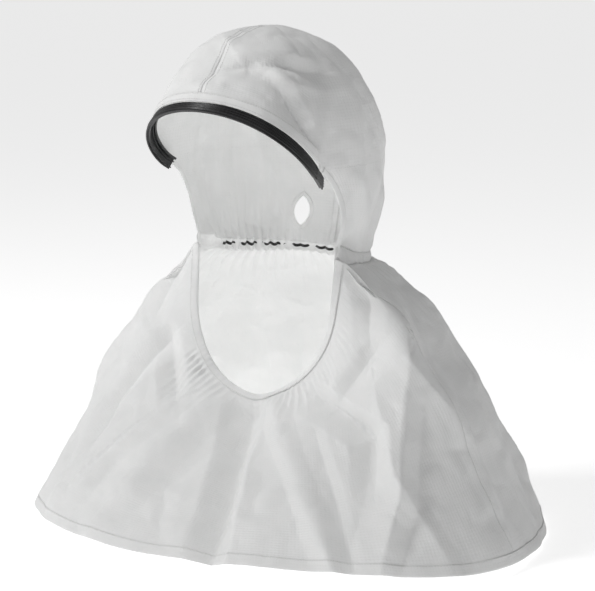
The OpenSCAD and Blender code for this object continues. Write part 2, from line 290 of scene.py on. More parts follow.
def creases(points, size, seed):
    """Crumpled cloth: the distance of smooth noise from its middle, which is sharp along lines
    that wander over the cloth and smooth between them. It is near 0 on a crease."""
    warped = points + 14 * (clouds(points, size * 0.8, seed + 50)[..., None] - 0.5)
    n = clouds(warped, size, seed) * 0.7 + clouds(warped, size * 0.5, seed + 9) * 0.3
    return np.sqrt((n - 0.5) ** 2 * 16 + 0.004)


# Three slow waves that shift the gathers: by how many radians, and the mm to a radian of each.
WANDER = ((1.1, 17.0), (1.4, 31.0), (1.8, 73.0))


def crumples(points, *layers):
    """Crumpled cloth in layers, each a height, a size and a seed, with its mean near 0."""
    return sum(height * (creases(points, size, seed) - 0.6) for height, size, seed in layers)


def ripples(s, seed, spacing):
    """Gathers: waves along a line whose spacing and height wander, with narrow creases."""
    seeds = np.random.default_rng(seed)
    phase = s / spacing * 2 * np.pi
    wander = sum(a * np.sin(s / p + seeds.uniform(0, 6.3)) for a, p in WANDER)
    strength = 0.65 + 0.35 * np.sin(s / 23.0 + seeds.uniform(0, 6.3))
    return strength * (1 - 2 * np.abs(np.sin((phase + wander) / 2)) ** 0.8)


print("fold tools ready")

# %% [markdown]
# ### Folds of the hood
#
# The crown is pulled forward to the brow and back over the head, so a star of creases meets
# above the brow, with a flat band along it. At the nape the elastic makes short gathers, and
# beside the face it ends in a deep upright pinch.

# %% Height of the hood's folds
def path_on(kind, *stations):
    """A path on the plain surface through stations of t and u."""
    return np.array([BASES[kind](np.array(float(t)), np.array(float(u))) for t, u in stations])


def by_hand(kind, *rows):
    """Folds from rows of: the stations, the height, the width, how much wider one side is."""
    return [(path_on(kind, *stations), *rest) for stations, *rest in rows]


def hanging(kind, count, seed, arc, run, height, width):
    """Long folds by rule. Their angles are spread evenly over an arc, in degrees, and shifted at
    random, and each wanders a little as it runs down from one t to the other. Ridges and valleys
    take turns, and no two are equally high or wide."""
    draw = np.random.default_rng(seed)
    made = []
    for i, middle in enumerate(np.linspace(*arc, count)):
        drift = draw.uniform(-7, 7, 3)
        ends = np.array(run) + draw.uniform(-0.06, 0.06, 2)
        t = np.clip(np.linspace(*ends, 3), 0.02, 1.98 if kind == "hood" else 0.99)
        path = BASES[kind](t, wrap(middle + drift))
        made.append((path, (-1) ** i * height * draw.uniform(0.6, 1.3), width * draw.uniform(0.7, 1.3), 1.5))
    return made


# The star of creases on the wearer's left of the brow, and the folds that meet it.
STAR = (0.6, 20)
HOOD_FOLDS = by_hand(
    "hood",
    ((STAR, (0.5, 60), (0.5, 90)), -13, 6, 1.8),
    ((STAR, (0.7, 50), (0.9, 80)), -14, 6, 2.0),
    ((STAR, (0.8, -10)), -7, 8, 1.6),
    ((STAR, (0.3, -30)), 6, 8, 1.6),
    (((0.6, 40), (0.7, 60)), 9, 8, 1.4),
    (((0.8, 10), (0.8, 40)), -6, 5, 1.5),
)
HOOD_FOLDS += hanging("hood", 7, 31, (105, 170), (0.6, 1.7), 8.0, 8.0)
HOOD_FOLDS += hanging("hood", 6, 32, (-105, -150), (0.6, 1.7), 8.0, 8.0)

# The upright crease beside the face, where the nape elastic ends: down the hood, then the cape.
PINCH = np.concatenate([path_on("hood", (1.4, 100), (2.0, 95)),
                        cape_base(np.array([0.05, 0.10, 0.15]), np.array([85.0, 75.0, 65.0]))])
ROLL = np.array([4.0, 24.0, 0.0])


def pinch(points):
    """The upright crease where the nape elastic ends on each side: a deep narrow valley, and the
    cloth in front of it standing out in a roll along the face opening."""
    other = points * np.array([-1, 1, 1.0])
    valley = fold(points, PINCH, -11.0, 9.0) + fold(other, PINCH, -11.0, 9.0)
    roll = fold(points, PINCH - ROLL, 5.0, 6.0) + fold(other, PINCH - ROLL, 5.0, 6.0)
    above = smooth(points[..., 2], -262, -236)
    return (valley + roll) * (1 - 0.45 * above)


def nape_gathers(u, room):
    """Upright gathers behind the neck, `room` mm from the elastic, mostly gone at 60."""
    near = np.exp(-(room / 26.0) ** 1.2)
    return 3.2 * near * ripples((u % 360) * 2.0 + 0.12 * room, 11, 9.5) * smooth(np.abs(u), 96, 112)


def hood_height(t, u, points):
    """All the folds of the hood, in mm, above its plain surface."""
    h = sum(fold(points, path, height, width, steep) for path, height, width, steep in HOOD_FOLDS)
    brow = (t <= 1) * smooth(86 - np.abs(u), 0, 8)
    h = h * (1 - 0.85 * smooth(t, 0.86, 0.92) * brow)
    quiet = 1 - 0.7 * smooth(t, 0.80, 0.90) * brow
    h = h + crumples(points, (3.4, 64.0, 3), (1.0, 26.0, 4)) * quiet
    room = np.clip((2 - t) * 100, 0, None)
    h = h + nape_gathers(u, room) + pinch(points)
    seam = np.exp(-(points[..., 0] / 4.0) ** 2)
    return h - 0.5 * seam * smooth(points[..., 2], -400, -30)


# %% [markdown]
# ### Folds of the cape
#
# The cape hangs from the neck and the shoulders, so its long folds run down and outwards and
# grow towards the hem. Under the chin the elastic makes a fan of short gathers, and a few of
# them run on as long creases.

# %% Height of the cape's folds
# The big folds of the front, listed: one deep valley down from the chin with a ridge beside it, a
# hollow like a kite on the wearer's right, and ridges crossing on the wearer's left.
CAPE_FOLDS = by_hand(
    "cape",
    (((0.05, 0), (1.0, 5)), -32, 10, 1.4),
    (((0.05, 10), (1.0, 30)), 18, 10, 1.0),
    (((0.1, -15), (1.0, -20)), 14, 14, 1.2),
    (((0.1, -50), (0.4, -50), (0.6, -40)), -17, 9, 1.3),
    (((0.1, -50), (0.2, -25)), -13, 8, 1.2),
    (((0.2, -25), (1.0, -35)), 16, 10, 1.6),
    (((0.1, 100), (0.3, 75), (0.6, 90)), 14, 12, 1.6),
    (((0.3, 75), (0.7, 50), (1.0, 40)), 19, 9, 1.8),
    (((0.1, 30), (0.4, 50), (0.6, 45)), -19, 8, 1.6),
    (((0.2, 40), (0.2, 75)), -9, 8, 1.4),
)
CAPE_FOLDS += hanging("cape", 9, 41, (95, 170), (0.2, 0.95), 11.0, 16.0)
CAPE_FOLDS += hanging("cape", 8, 42, (-95, -155), (0.2, 0.95), 11.0, 16.0)
CAPE_FOLDS += hanging("cape", 8, 43, (-80, 80), (0.3, 0.95), 7.0, 8.0)
chin_u = np.linspace(-SIDE, SIDE, 400)
chin_line = cape_base(np.zeros_like(chin_u), chin_u)
chin_s = run_of(chin_line)
print("chin line, mm:", chin_s[-1].round(1))


def chin_gathers(t, u):
    """A fan of gathers under the chin: waves along the U, in uneven patches, soon gone, and
    longest at the lowest point."""
    s = np.interp(np.clip(u, -SIDE, SIDE), chin_u, chin_s)
    down = t * 300.0
    low = smooth(72 - np.abs(u), 0, 30)
    near = np.exp(-(down / (9 + 18 * low)) ** 1.1) * (0.35 + 0.65 * low) * (np.abs(u) < SIDE)
    patchy = 0.25 + 0.75 * np.clip(np.sin(s / 19.0) + 0.6 * np.sin(s / 7.3 + 1) + 0.5, 0, 1.3)
    h = 2.8 * patchy * near * ripples(s + 0.09 * down * np.sin(s / 13.0), 21, 7.5)
    h = h * smooth(SIDE - np.abs(u), 0, 6)
    return h * (0.15 + 0.85 * smooth(down, 5, 13))


def cape_height(t, u, points):
    """All the folds of the cape, in mm, above its plain surface."""
    h = sum(fold(points, path, height, width, steep) for path, height, width, steep in CAPE_FOLDS)
    h = h * smooth(t, 0.0, 0.10)
    h = h + crumples(points, (4.2, 85.0, 5), (1.1, 30.0, 6)) * smooth(t, 0, 0.08)
    room = np.clip(t * 330.0, 0, None)
    return h + nape_gathers(u, room) * 1.3 + chin_gathers(t, u) + pinch(points)


def cape_lean(points):
    """The cape isn't hung evenly: its hem swings out at the wearer's right front, and rides up
    over the left front."""
    low = smooth(-points[..., 2], 240, 610)
    angle = np.degrees(np.arctan2(points[..., 0], -(points[..., 1] - HEM_Y)))
    right = np.exp(-((angle + 62) / 45) ** 2)
    left = np.exp(-((angle - 45) / 42) ** 2)
    return np.stack([-20 * right * low ** 0.6, -9 * right * low, 17 * left * low ** 2], -1)


HEIGHTS = {"hood": hood_height, "cape": cape_height}


def cloth(kind, t, u, lift=0.0):
    """A point of the folded cloth, in metres: the plain point, plus its folds and `lift` along
    the outward normal, with the cape leaning."""
    t, u = np.broadcast_arrays(np.asarray(t, float), np.asarray(u, float))
    plain = BASES[kind](t, u)
    normal = outward(kind, t, u)
    h = HEIGHTS[kind](t, u, plain)
    points = plain + (h + lift)[..., None] * normal
    if kind == "cape":
        points = points + cape_lean(plain)
    return points * MM


print("a point of the hood:", cloth("hood", 0.5, 45.0).round(3))

# %% [markdown]
# ## Finishes
#
# The cloth is spun-bonded fibre with a coating: matt, white, with a fine embossed grid and
# clouds of thicker and thinner fibre. The grid follows the cloth, so it is drawn on the piece's
# own UV map, in metres of cloth. The rubber's ribs are geometry, and the elastic's are bump.

# %% Materials
def new_material(name, colour, rough, **sockets):
    """A Principled material with its plain values on the shader's own sockets."""
    m = bpy.data.materials.new(name)
    m.use_nodes = True
    shader = m.node_tree.nodes["Principled BSDF"]
    shader.inputs["Base Color"].default_value = (*colour, 1)
    shader.inputs["Roughness"].default_value = rough
    for key, value in sockets.items():
        shader.inputs[key.replace("_", " ")].default_value = value
    return m, m.node_tree, shader


def coordinates(tree):
    """The piece's UV map and its own coordinates."""
    places = tree.nodes.new("ShaderNodeTexCoord")
    return places.outputs["UV"], places.outputs["Object"]


def noise_on(tree, where, scale, detail=4.0):
    """A noise texture on the given coordinates; returns its grey output."""
    n = tree.nodes.new("ShaderNodeTexNoise")
    n.inputs["Scale"].default_value = scale
    n.inputs["Detail"].default_value = detail
    tree.links.new(where, n.inputs["Vector"])
    return n.outputs["Fac"]


def wave_on(tree, where, scale, direction):
    """Sine stripes across one direction of the given coordinates."""
    n = tree.nodes.new("ShaderNodeTexWave")
    n.bands_direction = direction
    n.inputs["Scale"].default_value = scale
    n.inputs["Distortion"].default_value = 0.6
    tree.links.new(where, n.inputs["Vector"])
    return n.outputs["Fac"]


def sum_of(tree, a, b, weight):
    """a + b * weight, through one Math node."""
    n = tree.nodes.new("ShaderNodeMath")
    n.operation = "MULTIPLY_ADD"
    n.inputs[1].default_value = weight
    tree.links.new(b, n.inputs[0])
    tree.links.new(a, n.inputs[2])
    return n.outputs[0]


def bump_from(tree, shader, height, distance, strength=1.0):
    """Turns a grey height into the shader's normal."""
    n = tree.nodes.new("ShaderNodeBump")
    n.inputs["Strength"].default_value = strength
    n.inputs["Distance"].default_value = distance
    tree.links.new(height, n.inputs["Height"])
    tree.links.new(n.outputs["Normal"], shader.inputs["Normal"])


def tint_from(tree, shader, grey, low, high):
    """Colours the base between two colours by a grey value."""
    n = tree.nodes.new("ShaderNodeValToRGB")
    n.color_ramp.elements[0].position, n.color_ramp.elements[1].position = 0.3, 0.7
    n.color_ramp.elements[0].color, n.color_ramp.elements[1].color = (*low, 1), (*high, 1)
    tree.links.new(grey, n.inputs["Fac"])
    tree.links.new(n.outputs["Color"], shader.inputs["Base Color"])


def spun_cloth(name, low, high, grid=1.0):
    """Coated non-woven cloth: fibre clouds in its colour, an embossed grid and fibres as bump."""
    m, tree, shader = new_material(name, high, 0.72, Sheen_Weight=0.12, Specular_IOR_Level=0.32)
    uv, at = coordinates(tree)
    tint_from(tree, shader, noise_on(tree, at, 42.0, 6.0), low, high)
    cross = sum_of(tree, wave_on(tree, uv, 88.0, "X"), wave_on(tree, uv, 88.0, "Y"), 1.0)
    fibres = sum_of(tree, noise_on(tree, at, 900.0, 3.0), noise_on(tree, at, 170.0, 5.0), 1.6)
    bump_from(tree, shader, sum_of(tree, fibres, cross, 0.35 * grid), 0.00022, 0.8)
    return m


cloth_finish = spun_cloth("coated_cloth", (0.875, 0.88, 0.875), (0.905, 0.905, 0.90))
tape_finish = spun_cloth("binding_cloth", (0.82, 0.825, 0.82), (0.92, 0.92, 0.915), 0.5)

rubber_finish, tree, shader = new_material("brow_rubber", (0.012, 0.012, 0.013), 0.34, Specular_IOR_Level=0.5)
uv, at = coordinates(tree)
bump_from(tree, shader, noise_on(tree, at, 700.0), 0.0001, 0.5)
tint_from(tree, shader, noise_on(tree, at, 60.0), (0.008, 0.008, 0.009), (0.02, 0.02, 0.021))


def knitted(name, low, high):
    """Knitted elastic: fine ribs across it, and fuzz."""
    m, tree, shader = new_material(name, high, 0.85, Sheen_Weight=0.3)
    uv, at = coordinates(tree)
    ribs = sum_of(tree, wave_on(tree, uv, 300.0, "X"), noise_on(tree, at, 1200.0), 0.7)
    bump_from(tree, shader, ribs, 0.0003, 0.9)
    tint_from(tree, shader, noise_on(tree, at, 400.0), low, high)
    return m


black_knit = knitted("black_knit", (0.01, 0.01, 0.01), (0.028, 0.028, 0.028))
white_knit = knitted("white_knit", (0.72, 0.72, 0.71), (0.84, 0.84, 0.83))
thread_finish, tree, shader = new_material("sewing_thread", (0.78, 0.78, 0.77), 0.6, Sheen_Weight=0.2)
uv, at = coordinates(tree)
tint_from(tree, shader, noise_on(tree, at, 500.0), (0.70, 0.70, 0.69), (0.82, 0.82, 0.81))
print("finishes:", [m.name for m in bpy.data.materials][:12])

# %% [markdown]
# ## From arrays to meshes
#
# A grid of points becomes a mesh of four-sided faces. Cells that aren't cloth, such as the face
# opening below the brow, are left out by a mask. The UV map holds lengths of cloth, averaged over
# the grid's rows and columns, so that the embossed grid keeps nearly one size.

# %% Mesh helpers
def mesh_from(name, points, quads, material, uv=None, solid=None, keep_smooth=True):
    """A mesh object from an array of points and an array of faces, with its thickness made by a
    Solidify modifier when `solid` is given, in metres."""
    used, inverse = np.unique(quads, return_inverse=True)
    quads = inverse.reshape(quads.shape)
    mesh = bpy.data.meshes.new(name)
    mesh.from_pydata(points[used].tolist(), [], quads.tolist())
    if uv is not None:
        layer = mesh.uv_layers.new(name="cloth")
        layer.data.foreach_set("uv", uv[used][quads.ravel()].astype(np.float32).ravel())
    mesh.polygons.foreach_set("use_smooth", np.full(len(mesh.polygons), keep_smooth))
    mesh.materials.append(material)
    mesh.update()
    obj = bpy.data.objects.new(name, mesh)
    bpy.context.scene.collection.objects.link(obj)
    if solid:
        wall = obj.modifiers.new("thickness", "SOLIDIFY")
        wall.thickness = solid
        wall.offset = 0.0
        wall.use_even_offset = False
    return obj


def grid_quads(rows, cols, keep=None):
    """The faces of a grid, row by row, in the order that makes them point outwards when rows run
    down and columns run towards the wearer's left. `keep` is a mask of its cells."""
    i, j = np.meshgrid(np.arange(rows - 1), np.arange(cols - 1), indexing="ij")
    corner = i * cols + j
    quads = np.stack([corner, corner + cols, corner + cols + 1, corner + 1], -1)
    return quads[keep] if keep is not None else quads.reshape(-1, 4)


def lengths_of(points):
    """UV lengths in metres: how far each row and column lies along the cloth."""
    down = np.linalg.norm(np.diff(points, axis=0), axis=-1).mean(1)
    across = np.linalg.norm(np.diff(points, axis=1), axis=-1).mean(0)
    v, w = np.concatenate([[0], np.cumsum(down)]), np.concatenate([[0], np.cumsum(across)])
    return np.stack(np.broadcast_arrays(w[None, :], v[:, None]), -1)


# The thickness of a panel, of a binding and of a seam tape, in metres.
PANEL, BINDING, TAPE = 0.0006, 0.0005, 0.0004


def sheet_from(name, points, material, solid, keep=None, flip=False):
    """A mesh from a grid of points, in rows, with its lengths of cloth as its UV map."""
    quads = grid_quads(*points.shape[:2], keep)
    return mesh_from(name, points.reshape(-1, 3), quads[:, ::-1] if flip else quads, material,
                     lengths_of(points).reshape(-1, 2), solid)


def cloth_panel(name, kind, ts, us, material, lift=0.0, keep=None):
    """A panel of the folded cloth over a grid of t and u."""
    t, u = np.meshgrid(ts, us, indexing="ij")
    return sheet_from(name, cloth(kind, t, u, lift), material, PANEL, keep)


def area_of(obj):
    """The area of a mesh before its thickness, in square metres."""
    n = len(obj.data.polygons)
    areas = np.empty(n, np.float32)
    obj.data.polygons.foreach_get("area", areas)
    return float(areas.sum())


def bend_hood(obj):
    """Bakes the piece's placement into its mesh."""
    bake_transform(obj)


def bend_cape(obj):
    """Bakes the piece's placement into its mesh."""
    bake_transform(obj)


print("mesh helpers ready")

# %% [markdown]
# ## The crown panels
#
# Two panels meet in a seam from the brow, over the crown, to the nape. Each is one grid: its
# front columns stop at the brow, and the others go on down to the neck. The right one also
# lacks the cells of the port.

# %% Grid of the crown panels
BROW_EDGE = 0.965
crown_ts = np.concatenate([[0.0], np.linspace(0.01, BROW_EDGE, 84), np.linspace(0.985, 1.0, 2),
                           np.linspace(1.012, 2.0, 50)])
crown_us = np.concatenate([np.linspace(0, SIDE, 66), np.linspace(SIDE, 180, 102)[1:]])
print("rows and columns of a crown panel:", len(crown_ts), len(crown_us))

# %% [markdown]
# ### The port in the right panel
#
# The tube port is an upright slit shaped like an almond, two arcs that meet in points. The cells
# inside it are left out of the panel, and a narrow binding wrapped round the edge covers their
# steps, as it would cover a cut edge. A nearest-point search finds where on the cloth each point
# of the outline lies.

# %% Port
PORT_X, PORT_Z, PORT_H, PORT_W = -45.0, -240.0, 42.0, 22.0
PORT_R = (PORT_H ** 2 / 4 + PORT_W ** 2 / 4) / PORT_W


def almond(n, grow=0.0):
    """n points round the almond: height as a cosine, width from the arc's circle."""
    a = np.linspace(0, 2 * np.pi, n, endpoint=False)
    z = -np.cos(a) * PORT_H / 2
    x = np.sign(np.sin(a)) * (np.sqrt(np.clip(PORT_R ** 2 - z * z, 0, None)) - (PORT_R - PORT_W / 2))
    scale = 1 + grow / (PORT_W / 2)
    return x * scale + PORT_X, z * (1 + grow / (PORT_H / 2)) + PORT_Z


def in_almond(x, z, grow=0.0):
    """True inside the almond."""
    z, x = np.abs(z - PORT_Z), np.abs(x - PORT_X)
    return x < np.sqrt(np.clip(PORT_R ** 2 - z * z, 0, None)) - (PORT_R - PORT_W / 2) + grow


def crown_panel(name, ts, us):
    """Half of the hood, without the cells of the face opening and of the port."""
    t, u = np.meshgrid((ts[:-1] + ts[1:]) / 2, (us[:-1] + us[1:]) / 2, indexing="ij")
    plain = hood_base(t, u)
    port = in_almond(plain[..., 0], plain[..., 2], -0.4) & (plain[..., 1] > 60)
    keep = ((t < BROW_EDGE) | (np.abs(u) > SIDE)) & ~port
    return cloth_panel(name, "hood", ts, us, cloth_finish, keep=keep)


# The right panel has finer rows and columns beside its port.
port_ts = np.concatenate([crown_ts[crown_ts < 1.4], np.linspace(1.4, 2.0, 56)])
port_us = np.concatenate([crown_us[crown_us < 145], np.linspace(145, 172, 46), crown_us[crown_us > 172]])
panel_left = crown_panel("hood_cloth_left", crown_ts, crown_us)
panel_right = crown_panel("hood_cloth_right", port_ts, (-port_us)[::-1])
print("crown panels, m2:", round(area_of(panel_left), 3), round(area_of(panel_right), 3))
search_t, search_u = np.meshgrid(np.linspace(1.2, 2.0, 200), np.linspace(-180, -135, 180), indexing="ij")
search_at = hood_base(search_t, search_u)


def on_back(x, z):
    """The t and u of the plain hood's back at a given x and height."""
    sideways = (search_at[..., 0].ravel()[None] - x[:, None]) ** 2
    upwards = (search_at[..., 2].ravel()[None] - z[:, None]) ** 2
    i = (sideways + upwards).argmin(1)
    return search_t.ravel()[i], search_u.ravel()[i]


def swept(name, path, up, outline, material, closed=False):
    """A profile carried along a path, in metres. Each ring is the path's point plus the outline's
    first number across and its second number along `up`."""
    step = np.roll(path, -1, 0) - np.roll(path, 1, 0)
    if not closed:
        step[0], step[-1] = path[1] - path[0], path[-1] - path[-2]
    ahead = unit(step)
    across = unit(np.cross(up, ahead))
    up = unit(np.cross(ahead, across))
    o = np.asarray(outline) * MM
    rings = path[:, None] + o[None, :, :1] * across[:, None] + o[None, :, 1:] * up[:, None]
    n, m = len(path), len(o)
    i, j = np.meshgrid(np.arange(n if closed else n - 1), np.arange(m), indexing="ij")
    a, b = i * m + j, i * m + (j + 1) % m
    c, d = ((i + 1) % n) * m + (j + 1) % m, ((i + 1) % n) * m + j
    quads = np.stack([a, d, c, b], -1).reshape(-1, 4)
    s = run_of(path)
    r = run_of(o)
    uv = np.stack(np.broadcast_arrays(s[:, None], r[None, :]), -1).reshape(-1, 2)
    obj = mesh_from(name, rings.reshape(-1, 3), quads, material, uv)
    if not closed:
        whole = bmesh.new()
        whole.from_mesh(obj.data)
        bmesh.ops.holes_fill(whole, edges=[e for e in whole.edges if e.is_boundary])
        bmesh.ops.recalc_face_normals(whole, faces=whole.faces)
        whole.to_mesh(obj.data)
        whole.free()
    return obj


def flat_oval(width, thick, n=14):
    """The outline of a flat band with round edges: a superellipse of exponent 4."""
    a = np.linspace(0, 2 * np.pi, n, endpoint=False)
    c, s = np.cos(a), np.sin(a)
    x = np.sign(c) * np.abs(c) ** 0.5 * width / 2
    y = np.sign(s) * np.abs(s) ** 0.5 * thick / 2
    return np.stack([x, y], -1)


x, z = almond(120, 0.6)
t, u = on_back(x, z)
port_path = cloth("hood", t, u)
kernel = np.array([1, 2, 3, 2, 1]) / 9
port_path = sum(w * np.roll(port_path, k - 2, 0) for k, w in enumerate(kernel))
port_rim = swept("port_rim", port_path, outward("hood", t, u), flat_oval(5.4, 2.4), tape_finish, closed=True)
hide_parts("port_binding")
bend_hood(port_rim)
for piece, node in ((panel_left, "crown_panel_left"), (panel_right, "crown_panel_right")):
    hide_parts(node)
    bend_hood(piece)
print("port rim, mm round:", round(run_of(port_path)[-1] * 1000))

# %% [markdown]
# ### The crown seam
#
# Inside, a tape covers the seam. Outside, a row of stitches runs on each side of it. A stitch is
# a short flat bar of thread. They are all made in one array: each is a small box, placed and
# turned by the line it lies on, with a step between stitches.

# %% Seam tape and stitches
TAPE_WIDTH, TAPE_LIFT = 9.0, -0.9


def seam_strip(name, kind, t, u0):
    """A strip of tape inside the cloth along one angle, with the same width at every height."""
    side = np.linspace(-0.5, 0.5, 5) * TAPE_WIDTH
    reach = (BASES[kind](t, wrap(np.full_like(t, u0 + 0.5)))
             - BASES[kind](t, wrap(np.full_like(t, u0 - 0.5))))
    per_degree = np.maximum(np.linalg.norm(reach, axis=-1), 0.25)
    tt, uu = t[:, None] + 0 * side, wrap(u0 + side[None, :] / per_degree[:, None])
    return sheet_from(name, cloth(kind, tt, uu, TAPE_LIFT), tape_finish, TAPE)


def joined(name, objects):
    """One object from several: used for strips that are one real piece."""
    bpy.ops.object.select_all(action="DESELECT")
    for o in objects:
        o.select_set(True)
    bpy.context.view_layer.objects.active = objects[0]
    bpy.ops.object.join()
    objects[0].name = name
    objects[0].data.name = name
    return objects[0]


def resampled(path, step):
    """Points at equal steps along a path, and the way ahead at each."""
    s = run_of(path)
    at = np.arange(step, s[-1] - step, step)
    there = np.stack([np.interp(at, s, path[:, k]) for k in range(3)], -1)
    ahead = np.stack([np.interp(at + step / 4, s, path[:, k]) for k in range(3)], -1) - there
    return there, unit(ahead), at / s[-1]


def stitches(name, lines, step=3.4, length=2.4, thick=0.42):
    """Rows of stitches. Each line is a path in metres and its normals."""
    corner = np.array([[x, y, z] for x in (-1, 1) for y in (-1, 1) for z in (-1, 1)], float)
    corner *= np.array([length, thick, thick * 0.7]) * MM / 2
    box = np.array([[0, 1, 3, 2], [4, 6, 7, 5], [0, 4, 5, 1], [2, 3, 7, 6], [0, 2, 6, 4], [1, 5, 7, 3]])
    points, quads, count = [], [], 0
    for path, normals in lines:
        there, ahead, s = resampled(path, step * MM)
        up = np.stack([np.interp(s, np.linspace(0, 1, len(normals)), normals[:, k]) for k in range(3)], -1)
        across = unit(np.cross(up, ahead))
        up = np.cross(ahead, across)
        bars = there[:, None] + corner[None, :, :1] * ahead[:, None]
        bars = bars + corner[None, :, 1:2] * across[:, None]
        bars = bars + corner[None, :, 2:] * up[:, None]
        points.append(bars.reshape(-1, 3))
        quads.append((np.arange(len(there))[:, None, None] * 8 + box[None] + count).reshape(-1, 4))
        count += len(there) * 8
    return mesh_from(name, np.concatenate(points), np.concatenate(quads), thread_finish, keep_smooth=False)


def line_on(kind, t, u, lift):
    """A line on the folded cloth and its plain normals."""
    t, u = np.broadcast_arrays(np.asarray(t, float), np.asarray(u, float))
    return cloth(kind, t, u, lift), outward(kind, t, u)


SEAM_OFF = 2.6
front_t, back_t = np.linspace(BROW_EDGE - 0.005, 0.03, 120), np.linspace(0.03, 1.98, 260)
tape = joined("crown_tape", [seam_strip("tape_front", "hood", front_t[::-1], 0.0),
                             seam_strip("tape_back", "hood", back_t, 180.0)])
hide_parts("crown_seam_tape")
bend_hood(tape)
rows = []
for side in (-1, 1):
    # The degrees that make SEAM_OFF, from about 1.9 and 2.1 mm to a degree in front and behind.
    off_front = SEAM_OFF / np.maximum(np.clip(front_t, 0, 1) * 1.9, 0.2)
    off_back = SEAM_OFF / np.maximum(np.clip(back_t, 0, 1) * 2.1, 0.2)
    rows.append(line_on("hood", front_t, side * off_front, 0.5))
    rows.append(line_on("hood", back_t, side * (180 - off_back), 0.5))
crown_thread = stitches("crown_thread", rows)
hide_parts("crown_stitching")
bend_hood(crown_thread)
print("crown stitches:", len(crown_thread.data.vertices) // 8)

# %% [markdown]
# ## The brow
#
# The crown's front edge is folded into a band, sewn along both its edges, and the black profile
# grips it. The profile is an extrusion: one section all the way along, with ribs on its back and
# a barbed lip inside that clips over the visor's rim. So it is a profile carried along the brow's
# line. It goes on a little way past the temples, further on the wearer's left, and ends square.

# %% Brow band and profile
band_us = np.linspace(-79.5, 79.5, 200)
band = cloth_panel("brow_band", "hood", np.linspace(0.895, BROW_EDGE + 0.004, 12), band_us, tape_finish, 0.75)
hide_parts("brow_tape")
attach(band, "hood")
band_rows = [line_on("hood", t, band_us, 1.25) for t in (0.905, 0.95)]
band_thread = stitches("brow_thread", band_rows)
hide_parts("brow_stitching")
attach(band_thread, "hood")


def profile_line(u):
    """The brow's line, drawn 4.5 mm inside the cloth towards each temple and carried on past it."""
    side, k = np.sign(u + 1e-12), np.clip((np.abs(u) - SIDE) / 20, 0, None)
    x, y, z = rim(np.clip(u, -SIDE, SIDE))
    x = x - side * 4.5 * np.clip(np.abs(u) / SIDE, 0, 1) ** 6 - side * 7 * k
    return np.stack([x, y + 22 * k, z - 14 * k], -1)


def profile_frame(u):
    """The line, and the way out of its web, which follows the slope of the crown at the brow."""
    line, ahead = profile_line(u), unit(profile_line(u + 0.5) - profile_line(u - 0.5))
    k = np.clip(np.abs(u) / SIDE, 0, 1)[:, None]
    out = unit(line * np.array([1, 1, 0]) - np.array([0, TEMPLE_Y + 30, 0]))
    across = lerp(0.45, 0.98, k) * np.array([0, 0, 1.0]) - lerp(0.9, 0.1, k) * out
    across = unit(across - ahead * (across * ahead).sum(-1, keepdims=True))
    return line * MM, np.cross(ahead, across)


def profile_section(half=8.0, web=0.9):
    """The outline of the extrusion, in mm: ribs on the back, then the clip with its barbed lip."""
    back = [[half, web]]
    for c in (5.4, 2.2, -1.0, -4.2):
        back += [[c + 1.1, web], [c + 0.7, web + 1.0], [c - 0.7, web + 1.0], [c - 1.1, web]]
    back += [[-half, web]]
    clip = [[-half, -web], [-half + 2.0, -web], [-half + 2.0, -web - 2.8], [-half + 3.4, -web - 2.8],
            [-half + 3.4, -web], [half - 6.4, -web], [half - 6.4, -web - 2.6], [half - 5.2, -web - 2.6],
            [half - 5.2, -web], [half - 1.6, -web], [half - 1.6, -web - 2.4], [half - 3.0, -web - 3.2],
            [half, -web - 4.0]]
    return np.array(back + clip) - np.array([2.5, 0])


profile_u = np.linspace(-87, 102, 250)
line, up = profile_frame(profile_u)
outline = profile_section()
profile = swept("brow_profile_rubber", line, up, outline, rubber_finish)
profile.data.polygons.foreach_set("use_smooth", np.zeros(len(profile.data.polygons), bool))
edge = profile.modifiers.new("edges", "BEVEL")
edge.width, edge.segments, edge.limit_method = 0.00022, 1, "ANGLE"
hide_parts("brow_profile")
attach(profile, "hood")
print("brow profile, m long:", round(run_of(line)[-1], 3), "faces:", len(profile.data.polygons))

# %% [markdown]
# ## The neck band and the cape
#
# The neck band joins the gathered edge of the hood to the gathered edge of the cape, so it is
# the surface between those two edges, puffed out a little. Its elastic is sewn in and out of it,
# so that it shows on the inside as a row of dashes.

# %% Neck band
neck_u = np.concatenate([np.linspace(SIDE, 180, 330), np.linspace(-180, -SIDE, 330)[1:]])
upper, lower = cloth("hood", 2.0, neck_u), cloth("cape", 0.0, neck_u)
ways = np.linspace(0, 1, 7)[:, None, None]
BAND_PUFF = 1.3
chord = (upper + lower) / 2
band_out = unit(np.cross(lower - upper, np.gradient(chord, axis=0)))
away = chord - CENTRE * MM
band_out = band_out * np.sign((band_out * away).sum(-1, keepdims=True))
puff = BAND_PUFF * MM * np.sin(np.pi * ways) * band_out
neck_band = sheet_from("neck_band", lerp(upper, lower, ways) + puff, cloth_finish, PANEL)
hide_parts("nape_casing")
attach(neck_band, "neck")

behind = np.abs(neck_u) > 108
elastic_u, middle, normal = neck_u[behind], chord[behind], band_out[behind]
# Out from the chord by the band's own puff, and in again by what shows: where this is small, the
# elastic lies within the cloth, and where it is large, it shows on the inside as a dash.
shows = 0.36 + 0.45 * np.clip(np.sin(elastic_u / 2.6) + 0.5 * np.sin(elastic_u / 1.1), -0.6, 1)
elastic_path = middle + ((BAND_PUFF - shows) * MM)[:, None] * normal
nape = swept("nape_elastic_band", elastic_path, normal, flat_oval(3.6, 0.36), black_knit)
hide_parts("nape_elastic")
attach(nape, "neck")
print("nape elastic, m:", round(run_of(elastic_path)[-1], 3))

